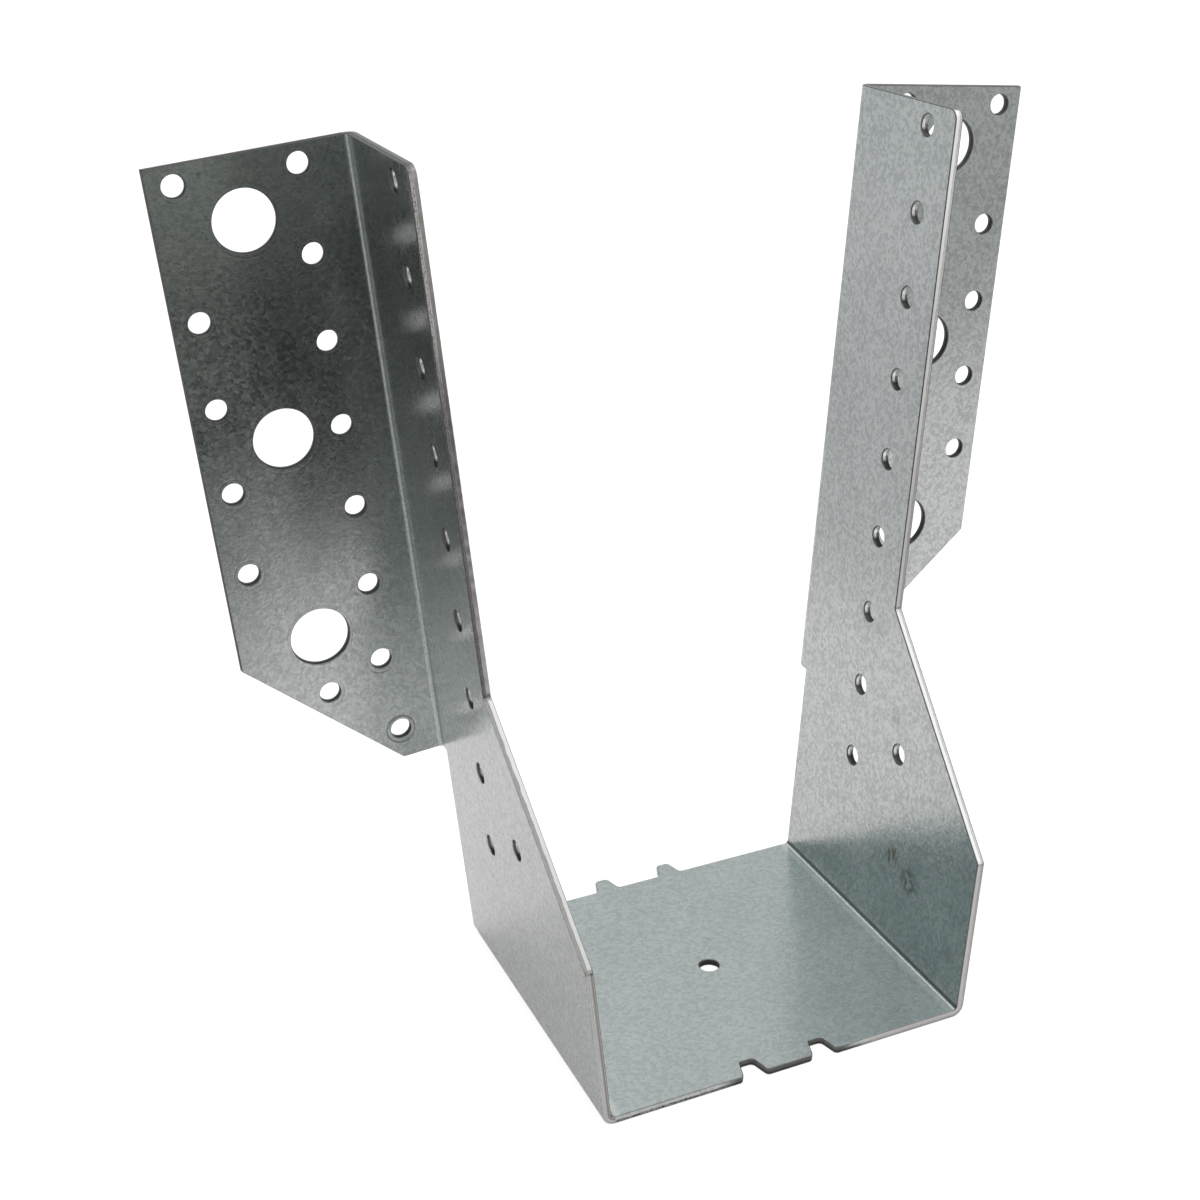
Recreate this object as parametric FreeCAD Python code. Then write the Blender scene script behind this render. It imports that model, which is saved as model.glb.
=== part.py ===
import FreeCAD, Part
import math
import os

# A heavy face-fixed joist hanger, cut from one flat sheet of galvanised steel and folded.
# X runs along the face of the header from left to right, -Y runs forward along the joist,
# Z runs up.  It is drawn with the back of the two flanges, which lies on the header's face, in
# the plane y = 0 and the underside of the seat in z = 0, and moved at the end so that the
# origin is in the middle of its depth.  All sizes are in millimetres.

# The sheet
sheet = 2.0                 # thickness of the steel
bend_radius = 1.0           # inside radius of every fold

# The seat, which carries the joist
seat_width = 90.0           # between the walls, where they meet the seat
seat_depth = 83.0           # from its back edge to its front edge
seat_setback = 5.0          # from the header's face to its back edge

# The walls, which hold the joist's sides.  Heights are measured up the wall from the seat's top.
wall_height = 205.0
wall_splay = 5.0            # each wall leans outwards by this many degrees
wall_width = 42.5           # upper part, from the header's face to its front edge
wall_corner = 2.5           # radius of the upper front corner
wall_upper_run = 120.0      # length of the upper part's straight front edge, from the top down
wall_slope = 45.0           # angle of the sloping front edge from upright

# The flanges, folded outwards against the header.  Widths are measured from the wall's inner face.
flange_width = 46.5
flange_length = 152.5       # from the top down, along the fold
flange_foot = 12.0          # width that is left at the lower end
flange_slope = 45.0         # angle of the cut-off lower corner from upright

# The holes
nail_hole = 5.0
nail_pitch = 20.0
bolt_hole = 14.0
bolt_pitch = 50.0

wall_nail_top = 5.0         # from the wall's top to its first nail hole
wall_nail_line = 31.5       # from the header's face to the column
wall_nail_seat = 35.0       # least height of a nail hole over the seat
wall_nail_step = 20.0       # the extra lowest hole stands this far forward
wall_nail_rise = 10.0       # and this far up from the column's last hole

flange_nail_top = 4.5       # from the flange's top to the first nail holes
flange_nail_inner = 13.5    # inner column
flange_nail_outer = 40.5    # outer column
flange_nail_gap = 30.0      # from the outer column's first hole to its second
flange_nail_edge = 6.0      # least distance of a nail hole to the flange's lower end
flange_nail_shift = 2.0     # the inner column's last hole stands nearer to the fold
flange_side_edge = 10.0     # least drop from an outer nail hole to the sloping edge
bolt_line = 27.0            # column of bolt holes
bolt_drop = 10.0            # from the first nail holes down to the first bolt hole
bolt_edge = 20.0            # least drop from a bolt hole to the sloping edge
foot_nail_drop = 15.0       # from the last bolt hole down to the nail hole under it

# The tabs on the seat's back edge.  Blanks follow each other on the strip, so the same cut
# leaves the tabs of one blank and the notches in the front edge of the next.
tab_pitch = 18.0
tab_root = 6.0              # width at the seat's edge
tab_tip = 3.4               # width at the tip, between the corners before they are rounded
tab_round = 1.2             # radius of its corners and of its roots

# Sizes that follow from those above
splay = math.radians(wall_splay)
fold_outer = bend_radius + sheet
seat_front = seat_setback + seat_depth
tab_length = seat_setback                     # the tips end flush with the header's face
wall_slope_top = wall_height - wall_upper_run
wall_slope_end = wall_slope_top - (seat_front - wall_width) / math.tan(math.radians(wall_slope))
flange_bottom = wall_height - flange_length
flange_slope_drop = (flange_width - flange_foot) / math.tan(math.radians(flange_slope))
flange_side_end = flange_bottom + flange_slope_drop

V = FreeCAD.Vector
Z_UP = V(0, 0, 1)

# The right wall's own directions: forward, up the wall, and outwards across it.
# Its origin is the corner where its inner face would meet the seat's top.
FORWARD = V(0, -1, 0)
UP_WALL = V(math.sin(splay), 0, math.cos(splay))
OUTWARD = V(math.cos(splay), 0, -math.sin(splay))
WALL_FOOT = V(seat_width / 2, 0, sheet)


def on_wall(forward, up, outward=0.0):
    """Point given by its distances from the header's face, the seat and the wall's inner face."""
    return WALL_FOOT + FORWARD * forward + UP_WALL * up + OUTWARD * outward


def arc(start, middle, end):
    return Part.Arc(start, middle, end).toShape()


def line(start, end):
    return Part.makeLine(start, end)


def face_of(edges):
    return Part.Face(Part.Wire(edges))


def rounded_face(points, radii):
    """Flat face with straight sides whose corners are rounded by the radii, 0 for a sharp one."""
    starts, ends, middles = [], [], []
    count = len(points)
    for i in range(count):
        corner, radius = points[i], radii[i]
        to_last = (points[i - 1] - corner).normalize()
        to_next = (points[(i + 1) % count] - corner).normalize()
        half = to_last.getAngle(to_next) / 2
        reach = radius / math.tan(half) if radius else 0.0
        starts.append(corner + to_last * reach)
        ends.append(corner + to_next * reach)
        bisector = (to_last + to_next).normalize()
        middles.append(corner + bisector * (radius / math.sin(half) - radius))
    edges = []
    for i in range(count):
        if radii[i]:
            edges.append(arc(starts[i], middles[i], ends[i]))
        edges.append(line(ends[i], starts[(i + 1) % count]))
    return face_of(edges)


def rows(first, last, pitch):
    """Evenly spaced places from the first down to the last that still fits."""
    count = int((last - first) / pitch + 1e-6) + 1
    return [first + pitch * i for i in range(count)]


def half_channel():
    """Right half of the seat with its fold and its wall, as a profile drawn along the joist."""
    y = -seat_setback
    centre = V(seat_width / 2 + bend_radius * (math.tan(splay) - 1 / math.cos(splay)),
               y, sheet + bend_radius)
    turn = (math.pi / 2 + splay) / 2
    halfway = V(math.sin(math.pi / 2 - turn), 0, -math.cos(math.pi / 2 - turn))

    def fold(radius):
        return arc(V(centre.x, y, centre.z - radius), centre + halfway * radius,
                   centre + OUTWARD * radius)

    top_in = on_wall(seat_setback, wall_height)
    top_out = on_wall(seat_setback, wall_height, sheet)
    under, over = V(0, y, 0), V(0, y, sheet)
    profile = face_of([
        line(under, V(centre.x, y, 0)),
        fold(fold_outer),
        line(centre + OUTWARD * fold_outer, top_out),
        line(top_out, top_in),
        line(top_in, centre + OUTWARD * bend_radius),
        fold(bend_radius),
        line(V(centre.x, y, sheet), over),
        line(over, under)])
    return profile.extrude(FORWARD * seat_depth)


def wall_and_flange():
    """Upper part of the wall with its fold and its flange, as a profile drawn up the wall."""
    up = flange_bottom
    near = math.sqrt(0.5)
    profile = face_of([
        line(on_wall(wall_width, up), on_wall(fold_outer, up)),
        arc(on_wall(fold_outer, up),
            on_wall(fold_outer * (1 - near), up, fold_outer * (1 - near)),
            on_wall(0, up, fold_outer)),
        line(on_wall(0, up, fold_outer), on_wall(0, up, flange_width)),
        line(on_wall(0, up, flange_width), on_wall(sheet, up, flange_width)),
        line(on_wall(sheet, up, flange_width), on_wall(sheet, up, fold_outer)),
        arc(on_wall(sheet, up, fold_outer),
            on_wall(fold_outer - bend_radius * near, up, fold_outer - bend_radius * near),
            on_wall(fold_outer, up, sheet)),
        line(on_wall(fold_outer, up, sheet), on_wall(wall_width, up, sheet)),
        line(on_wall(wall_width, up, sheet), on_wall(wall_width, up))])
    return profile.extrude(UP_WALL * flange_length)


def wall_outline():
    """Block that keeps what lies behind the wall's front edge, seen square to the wall."""
    across = seat_width
    points = [(-sheet, -across), (seat_front, -across), (seat_front, wall_slope_end),
              (wall_width, wall_slope_top), (wall_width, wall_height), (-sheet, wall_height)]
    radii = [0, 0, 0, 0, wall_corner, 0]
    face = rounded_face([on_wall(f, up, -across) for f, up in points], radii)
    return face.extrude(OUTWARD * (2 * across + flange_width))


def flange_corner():
    """Wedge that comes off the flange's lower outer corner."""
    beyond = flange_width - flange_foot
    low = flange_bottom - flange_slope_drop
    face = face_of(Part.makePolygon([
        on_wall(-sheet, flange_side_end + flange_slope_drop, flange_width + beyond),
        on_wall(-sheet, low, flange_foot - beyond),
        on_wall(-sheet, low, flange_width + beyond),
        on_wall(-sheet, flange_side_end + flange_slope_drop, flange_width + beyond)]).Edges)
    return face.extrude(FORWARD * (3 * sheet))


def wall_nails():
    """Nail holes of one wall, as distance forward and height."""
    lowest = wall_height - wall_nail_seat
    holes = [(wall_nail_line, wall_height - down)
             for down in rows(wall_nail_top, lowest, nail_pitch)]
    last = holes[-1][1]
    holes.append((wall_nail_line + wall_nail_step, last + wall_nail_rise))
    return holes


def flange_holes():
    """Holes of one flange: nail holes and bolt holes, as distance outward and height."""
    def edge_drop(line_at):
        return min(flange_length, wall_height - flange_side_end
                   + (flange_width - line_at) / math.tan(math.radians(flange_slope)))

    inner = rows(flange_nail_top, flange_length - flange_nail_edge, nail_pitch)
    outer = [flange_nail_top] + rows(flange_nail_top + flange_nail_gap,
                                     edge_drop(flange_nail_outer) - flange_side_edge, nail_pitch)
    bolts = rows(flange_nail_top + bolt_drop, edge_drop(bolt_line) - bolt_edge, bolt_pitch)
    nails = [(flange_nail_inner, down) for down in inner[:-1]]
    nails.append((flange_nail_inner - flange_nail_shift, inner[-1]))
    nails += [(flange_nail_outer, down) for down in outer]
    nails.append((bolt_line, bolts[-1] + foot_nail_drop))
    return ([(across, wall_height - down) for across, down in nails],
            [(bolt_line, wall_height - down) for down in bolts])


def drill(diameter, centre, direction):
    """Cylinder right through the sheet at a point of one of its faces."""
    return Part.makeCylinder(diameter / 2, 3 * sheet, centre - direction * sheet, direction)


def right_half():
    side = half_channel().fuse(wall_and_flange()).common(wall_outline()).cut(flange_corner())
    nails, bolts = flange_holes()
    drills = [drill(nail_hole, on_wall(f, up), OUTWARD) for f, up in wall_nails()]
    drills += [drill(nail_hole, on_wall(0, up, out), FORWARD) for out, up in nails]
    drills += [drill(bolt_hole, on_wall(0, up, out), FORWARD) for out, up in bolts]
    return side.cut(drills)


def tab_cut(edge_y):
    """The strip's cut with its tabs, along a seat edge: the strip lies forward of the edge."""
    blanks = []
    for x in (-tab_pitch / 2, tab_pitch / 2):
        points = [(x - tab_pitch / 2, -tab_length), (x + tab_pitch / 2, -tab_length),
                  (x + tab_pitch / 2, 0), (x + tab_root / 2, 0), (x + tab_tip / 2, tab_length),
                  (x - tab_tip / 2, tab_length), (x - tab_root / 2, 0), (x - tab_pitch / 2, 0)]
        radii = [0, 0, 0, tab_round, tab_round, tab_round, tab_round, 0]
        face = rounded_face([V(px, edge_y + py, 0) for px, py in points], radii)
        blanks.append(face.extrude(Z_UP * sheet))
    return blanks


def hanger():
    right = right_half()
    left = right.mirror(V(0, 0, 0), V(1, 0, 0))
    body = right.fuse([left] + tab_cut(-seat_setback))
    body = body.cut(tab_cut(-seat_front))
    seat_middle = V(0, -(seat_setback + seat_depth / 2), 0)
    body = body.cut(drill(nail_hole, seat_middle, Z_UP)).removeSplitter()
    body.translate(V(0, seat_front / 2, 0))
    return body.Solids[0]


shape = hanger()
os.makedirs("parts", exist_ok=True)
shape.exportStep("parts/hanger.step")
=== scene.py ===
"""A joist hanger folded from one blank of galvanised steel sheet, standing in a plain studio.

The blank is drawn flat, its faces and its sheared edges are meshed, and every point is then
carried over the folds.  Lengths are in metres and depth runs through the sheet: it is 0 on the
side that faces the joist and the header, and the sheet's thickness on the other side.
"""

import math

import bpy
from bpy.props import FloatProperty, FloatVectorProperty, IntProperty, PointerProperty
from bpy.types import Operator, Panel, PropertyGroup
from mathutils import Euler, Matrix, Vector
from mathutils.geometry import delaunay_2d_cdt
from mathutils.noise import noise


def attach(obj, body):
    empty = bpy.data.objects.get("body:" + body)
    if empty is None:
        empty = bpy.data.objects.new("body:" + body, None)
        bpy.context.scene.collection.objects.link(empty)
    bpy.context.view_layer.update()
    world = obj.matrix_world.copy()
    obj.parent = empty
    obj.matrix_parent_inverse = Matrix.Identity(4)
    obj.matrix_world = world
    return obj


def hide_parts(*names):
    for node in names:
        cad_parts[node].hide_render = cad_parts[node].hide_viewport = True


bl_info = {
    "name": "Joist Hanger",
    "version": (1, 0, 0),
    "blender": (4, 5, 0),
    "location": "3D View > Sidebar > Hanger",
    "description": "Folds a joist hanger out of a flat blank and sets up its studio",
    "category": "Mesh",
}

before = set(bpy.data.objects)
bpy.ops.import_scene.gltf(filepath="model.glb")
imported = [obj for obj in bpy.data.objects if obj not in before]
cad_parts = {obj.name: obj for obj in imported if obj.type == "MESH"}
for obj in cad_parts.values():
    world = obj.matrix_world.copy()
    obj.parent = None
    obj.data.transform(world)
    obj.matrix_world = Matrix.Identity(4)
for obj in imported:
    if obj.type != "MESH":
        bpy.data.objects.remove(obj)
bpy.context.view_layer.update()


# Properties

def length(name, description, default):
    """A size in metres."""
    return FloatProperty(name=name, description=description, default=default, min=0.0,
                         precision=4, unit="LENGTH")


def angle(name, description, degrees):
    return FloatProperty(name=name, description=description, default=math.radians(degrees),
                         unit="ROTATION")


def share(name, description, default):
    """A share from 0 to 1."""
    return FloatProperty(name=name, description=description, default=default, min=0.0, max=1.0,
                         subtype="FACTOR")


def colour(name, description, default):
    return FloatVectorProperty(name=name, description=description, default=default, size=3,
                               min=0.0, max=1.0, subtype="COLOR")


class HangerSizes(PropertyGroup):
    """Sizes of the hanger and of its folds, cuts and holes."""

    sheet: length("Sheet", "Thickness of the steel", 0.002)
    bend_radius: length("Bend Radius", "Inside radius of every fold", 0.001)

    seat_width: length("Seat Width", "Between the walls where they meet the seat", 0.090)
    seat_depth: length("Seat Depth", "From the seat's back edge to its front edge", 0.083)
    seat_setback: length("Seat Setback", "From the header's face to the seat's back edge", 0.005)

    wall_height: length("Wall Height", "Up the wall from the seat's top", 0.205)
    wall_splay: angle("Wall Splay", "How far each wall leans outwards", 5.0)
    wall_width: length("Wall Width", "Upper part, from the header's face", 0.0425)
    wall_corner: length("Wall Corner", "Radius of the upper front corner", 0.0025)
    wall_upper_run: length("Upper Run", "Straight front edge of the upper part", 0.120)
    wall_slope: angle("Wall Slope", "Sloping front edge, from upright", 45.0)

    flange_width: length("Flange Width", "From the wall's inner face", 0.0465)
    flange_length: length("Flange Length", "From the top down, along the fold", 0.1525)
    flange_foot: length("Flange Foot", "Width left at the lower end", 0.012)
    flange_slope: angle("Flange Slope", "Cut-off lower corner, from upright", 45.0)

    nail_hole: length("Nail Hole", "Diameter of the nail holes", 0.005)
    nail_pitch: length("Nail Pitch", "Between the nail holes of a column", 0.020)
    bolt_hole: length("Bolt Hole", "Diameter of the bolt holes", 0.014)
    bolt_pitch: length("Bolt Pitch", "Between the bolt holes", 0.050)

    wall_nail_top: length("Wall Nail Top", "From the wall's top to its first hole", 0.005)
    wall_nail_line: length("Wall Nail Line", "From the header's face to the column", 0.0315)
    wall_nail_count: IntProperty(name="Wall Nails", description="Holes in a wall's column",
                                 default=9, min=1)
    wall_nail_step: length("Extra Nail Step", "Extra hole, forward of the column", 0.020)
    wall_nail_rise: length("Extra Nail Rise", "Extra hole, above the column's last", 0.010)

    flange_nail_top: length("Flange Nail Top", "From the flange's top to its first holes", 0.0045)
    flange_nail_inner: length("Inner Nail Line", "Column next to the fold", 0.0135)
    flange_nail_outer: length("Outer Nail Line", "Column next to the outer edge", 0.0405)
    inner_nail_count: IntProperty(name="Inner Nails", description="Holes in the inner column",
                                  default=8, min=1)
    outer_nail_count: IntProperty(name="Outer Nails", default=4, min=1,
                                  description="Holes in the outer column below its first")
    flange_nail_gap: length("Outer Nail Gap", "Outer column's first hole to its second", 0.030)
    flange_nail_shift: length("Last Nail Shift", "Inner column's last hole, towards the fold",
                              0.002)
    bolt_line: length("Bolt Line", "Column of bolt holes", 0.027)
    bolt_count: IntProperty(name="Bolts", description="Bolt holes in a flange", default=3, min=1)
    bolt_drop: length("Bolt Drop", "First nail holes to the first bolt hole", 0.010)
    foot_nail_drop: length("Foot Nail Drop", "Last bolt hole to the nail hole under it", 0.015)

    tab_pitch: length("Tab Pitch", "Between the tabs on the seat's back edge", 0.018)
    tab_root: length("Tab Root", "Width of a tab at the edge", 0.0060)
    tab_tip: length("Tab Tip", "Width of a tab at its tip", 0.0034)
    tab_round: length("Tab Round", "Radius of a tab's corners and roots", 0.0012)


class ShearSizes(PropertyGroup):
    """What the shears and punches leave along a cut: rolled-over lip, bright band, torn part."""

    lip: length("Lip", "Width of the rounded lip on both sides of a cut", 0.00028)
    lip_depth: length("Lip Depth", "How deep the rounded lip goes", 0.00024)
    band: length("Bright Band", "Depth at which the bright band ends", 0.00110)
    tear: length("Tear", "How far the torn part stands back", 0.00010)
    ragged: length("Ragged", "Unevenness of the torn part", 0.00006)
    dish: length("Dish", "How far a punched hole draws the sheet in", 0.00007)
    dish_width: length("Dish Width", "Width of the drawn-in ring round a hole", 0.0015)
    wear: length("Wear", "How deep the left wall's front edge is nibbled", 0.00035)
    step: length("Step", "Longest piece of a cut between two points", 0.0010)


class ZincLook(PropertyGroup):
    """Colours and gloss of the zinc coat and of the cut steel."""

    zinc: colour("Zinc", "Lightest grains of the coat", (0.635, 0.670, 0.670))
    zinc_dark: colour("Dark Zinc", "Darkest grains of the coat", (0.47, 0.505, 0.505))
    zinc_gloss: share("Zinc Roughness", "Roughness of the coat", 0.23)
    grain: length("Grain", "Size of the coat's grains", 0.00075)
    grain_height: length("Grain Height", "Height of the coat's grains", 0.00003)
    band_steel: colour("Bright Band", "Burnished part of a cut", (0.72, 0.72, 0.70))
    # A near-white painted highlight on the cuts and in the walls' bores
    highlight_steel: colour("Fresh Cut", "Cut along the right wall", (0.97, 0.97, 0.96))
    scuffed_cut: colour("Scuffed Cut", "Cut along the left wall's upper part", (0.90, 0.87, 0.87))
    # Dark steel on the left wall's lower cut, and a painted shadow line on its cut from the slope up
    dull_steel_and_shadow: colour("Dull Cut", "Cut along the left wall's lower part", (0.22, 0.19, 0.17))
    # Painted shade on stretches of the walls' front cuts
    cut_shade: colour("Dusk", "What dulls the rubbed cuts", (0.02, 0.02, 0.02))
    outer_cut: colour("Outer Cut", "Cut along the top and the flanges", (0.12, 0.11, 0.10))
    torn_steel: colour("Torn Steel", "Torn part of a cut", (0.07, 0.065, 0.06))
    bore_steel: colour("Bore", "Steel inside the punched holes", (0.055, 0.055, 0.052))
    rust: colour("Rust", "Brown tinge of worn cuts and stains", (0.19, 0.12, 0.075))
    # Painted shade on the rounded lips of the cuts
    lip: colour("Lip", "Rounded lips of the cuts", (0.07, 0.07, 0.07))
    # A painted highlight on the seat beside each fold, and painted shade in the fold's inner corner
    fold_highlight: colour("Rubbed Fold", "Rubbed side of the seat's folds", (0.86, 0.84, 0.81))
    crease_shade: colour("Crease", "Dark side of the seat's folds", (0.03, 0.03, 0.03))
    punch_ring: colour("Punch Ring", "Ring that a punch leaves", (0.10, 0.11, 0.105))
    # Painted shade on the left side's upper part
    left_shade: colour("Film", "Dull film on the left side", (0.0, 0.0, 0.0))
    speck: colour("Speck", "Dark specks in the coat", (0.16, 0.17, 0.165))
    stain: colour("Stain", "Dried drop on the coat", (0.20, 0.17, 0.13))
    smudge: colour("Smudge", "Smudge beside the drop", (0.20, 0.21, 0.22))
    scuff: colour("Scuff", "Soft scuffs", (0.25, 0.26, 0.27))


class StudioSettings(PropertyGroup):
    """The floor, the lamp overhead and what the metal mirrors of the room."""

    paper: colour("Paper", "The paper under the hanger", (0.785, 0.762, 0.755))
    floor_reach: length("Floor Reach", "Half the width of the floor", 3.0)
    pool_radius: length("Paper Radius", "How far the pale paper shows in the metal", 0.40)
    pool_soft: length("Paper Edge", "Width of the paper's soft edge in the metal", 0.06)
    lamp_power: FloatProperty(name="Lamp", description="Power of the lamp overhead",
                              default=8.0, min=0.0, unit="POWER")
    daylight: share("Daylight", "Even light that falls on the floor from all sides", 0.80)
    backdrop: colour("Backdrop", "The room behind the hanger", (0.645, 0.68, 0.675))
    far_floor: colour("Far Floor", "The floor beyond the paper", (0.745, 0.73, 0.73))
    window: colour("Window", "High window at the back on the left", (0.92, 1.0, 0.99))
    front_right: colour("Front Right", "The room in front on the right", (0.55, 0.55, 0.54))
    front: colour("Front", "The room straight in front", (0.27, 0.285, 0.265))
    stand: colour("Stand", "Foot of the camera's stand", (0.02, 0.022, 0.018))
    corner: colour("Corner", "Dim corner of the room, at the back on the left",
                   (0.30, 0.37, 0.37))
    ceiling: colour("Ceiling", "The room overhead", (1.0, 1.0, 1.0))


# The flat blank and its folds

FACE_SLOT, CUT_SLOT = 0, 1                  # the zinc coat and the sheared edge
FIRST_CUT_ROW, LAST_CUT_ROW = 2, 5          # rows of a cut that show sheared steel
FOLD_STEPS = 8
HOLE_FINENESS = 2                           # times as many points round a hole as elsewhere
LEAST_GAP = 0.4                             # between two points of an edge, in its steps
SHARPEST = 0.3                              # keeps a sharp corner's inset point near it
DISH_RINGS = (0.35, 0.7, 1.0)               # rings of points across a dish's width
DISH_MARGIN = 1.001                         # counts a dish's outermost ring of points to it
WEAR_WAVES = ((500, 0.6), (1700, 0.5))      # scale and share of the nibbled edge's waves
RAGGED_SCALE = 900
SMALL_STEP = 0.00002
MERGE_WITHIN = 1e-7
ON_LINE = 1e-6
NO_RUN = 1e-9
FAR = 1.0                                   # stands for no hole near


class Blank:
    """The sheet before it is folded, and the way its points go over the folds.

    Across runs from the middle of the seat outwards and up the walls, negative on the left.
    Forward runs from the header along the joist, and is negative out on the flanges.
    """

    def __init__(self, sizes):
        self.sizes = sizes
        self.turn = math.pi / 2 - sizes.wall_splay
        self.mean_radius = sizes.bend_radius + sizes.sheet / 2
        self.outer_radius = sizes.bend_radius + sizes.sheet
        lean = math.tan(sizes.wall_splay) - 1 / math.cos(sizes.wall_splay)
        self.seat_end = sizes.seat_width / 2 + sizes.bend_radius * lean
        self.wall_foot = sizes.bend_radius * math.tan(self.turn / 2)
        self.wall_start = self.seat_end + self.mean_radius * self.turn
        self.flange_start = self.outer_radius - self.mean_radius * math.pi / 2
        self.seat_front = sizes.seat_setback + sizes.seat_depth

    def up_wall(self, height):
        """Across for a height on the wall."""
        return self.wall_start + height - self.wall_foot

    def out_flange(self, outward):
        """Forward for a distance outwards on the flange."""
        return self.flange_start + self.outer_radius - outward

    def fold_lines(self, steps):
        """Across of the lines in the seat's fold, and forward of those in the flange's fold."""
        seat = [self.seat_end + (self.wall_start - self.seat_end) * i / steps
                for i in range(steps + 1)]
        flange = [self.flange_start + (self.outer_radius - self.flange_start) * i / steps
                  for i in range(steps + 1)]
        return seat, flange

    def folded(self, across, forward, depth):
        """Where a point of the blank lies on the folded hanger."""
        sizes = self.sizes
        side = math.copysign(1.0, across)
        across = abs(across)
        middle = self.seat_front / 2
        if across <= self.seat_end:
            return Vector((side * across, middle - forward, sizes.sheet - depth))
        if across < self.wall_start:
            bent = (across - self.seat_end) / self.mean_radius
            radius = sizes.bend_radius + depth
            return Vector((side * (self.seat_end + radius * math.sin(bent)), middle - forward,
                           self.outer_radius - radius * math.cos(bent)))
        height = across - self.wall_start + self.wall_foot
        if forward >= self.outer_radius:
            outward = depth
        elif forward > self.flange_start:
            bent = (self.outer_radius - forward) / self.mean_radius
            radius = self.outer_radius - depth
            forward = self.outer_radius - radius * math.sin(bent)
            outward = self.outer_radius - radius * math.cos(bent)
        else:
            outward = self.flange_start + self.outer_radius - forward
            forward = depth
        lean_sin, lean_cos = math.sin(sizes.wall_splay), math.cos(sizes.wall_splay)
        return Vector((side * (sizes.seat_width / 2 + lean_sin * height + lean_cos * outward),
                       middle - forward, sizes.sheet + lean_cos * height - lean_sin * outward))


def slope_heights(sizes):
    """Heights on a wall at which its sloping front edge starts and ends."""
    slope_top = sizes.wall_height - sizes.wall_upper_run
    reach = sizes.seat_setback + sizes.seat_depth - sizes.wall_width
    return slope_top, slope_top - reach / math.tan(sizes.wall_slope)


def half_outline(blank):
    """Corners of the blank's right half from the seat's back edge round to its front edge.

    Each corner is across, forward and the radius that rounds it.
    """
    sizes = blank.sizes
    tab_at, root, tip = sizes.tab_pitch / 2, sizes.tab_root / 2, sizes.tab_tip / 2
    slope_top, slope_end = slope_heights(sizes)
    flange_bottom = sizes.wall_height - sizes.flange_length
    side_end = flange_bottom + ((sizes.flange_width - sizes.flange_foot)
                                / math.tan(sizes.flange_slope))
    top = blank.up_wall(sizes.wall_height)
    outer_edge = blank.out_flange(sizes.flange_width)
    front = blank.seat_front

    def tab(edge, order):
        steps = [(-root, edge), (-tip, edge - sizes.seat_setback),
                 (tip, edge - sizes.seat_setback), (root, edge)]
        return [(tab_at + along, forward, sizes.tab_round) for along, forward in steps[::order]]

    return (tab(sizes.seat_setback, 1)
            + [(blank.up_wall(flange_bottom), sizes.seat_setback, 0.0),
               (blank.up_wall(flange_bottom), blank.out_flange(sizes.flange_foot), 0.0),
               (blank.up_wall(side_end), outer_edge, 0.0),
               (top, outer_edge, 0.0),
               (top, sizes.wall_width, sizes.wall_corner),
               (blank.up_wall(slope_top), sizes.wall_width, 0.0),
               (blank.up_wall(slope_end), front, 0.0)]
            + tab(front, -1))


def turned(vector, radians):
    """A flat vector turned by that much."""
    cos, sin = math.cos(radians), math.sin(radians)
    return Vector((vector.x * cos - vector.y * sin, vector.x * sin + vector.y * cos))


def rounded(corners, steps=5):
    """A closed outline as points, with the corners that have a radius turned into arcs."""
    points = []
    for i, (across, forward, radius) in enumerate(corners):
        here = Vector((across, forward))
        if radius == 0.0:
            points.append(here)
            continue
        back = (Vector(corners[i - 1][:2]) - here).normalized()
        ahead = (Vector(corners[(i + 1) % len(corners)][:2]) - here).normalized()
        half = back.angle(ahead) / 2
        centre = here + (back + ahead).normalized() * (radius / math.sin(half))
        start = here + back * (radius / math.tan(half)) - centre
        end = here + ahead * (radius / math.tan(half)) - centre
        sweep = start.angle_signed(end)
        points += [centre + turned(start, -sweep * k / steps) for k in range(steps + 1)]
    return points


def divided(points, across_lines, forward_lines, step):
    """The same outline with a point wherever it meets a fold line and at least every step."""
    result = []
    for i, start in enumerate(points):
        end = points[(i + 1) % len(points)]
        cuts = {0.0}
        for axis, lines in ((0, across_lines), (1, forward_lines)):
            run = end[axis] - start[axis]
            if abs(run) > NO_RUN:
                cuts.update(t for t in ((at - start[axis]) / run for at in lines) if 0 < t < 1)
        count = math.ceil((end - start).length / step)
        near = [k / count for k in range(1, count)]
        cuts.update(t for t in near if all(abs(t - c) > LEAST_GAP / count for c in cuts))
        result += [start.lerp(end, t) for t in sorted(cuts)]
    return result


def circle(centre, radius, steps):
    """A hole's outline, which runs the other way round from the blank's own."""
    return [centre + Vector((math.cos(-2 * math.pi * k / steps),
                             math.sin(-2 * math.pi * k / steps))) * radius
            for k in range(steps)]


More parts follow.
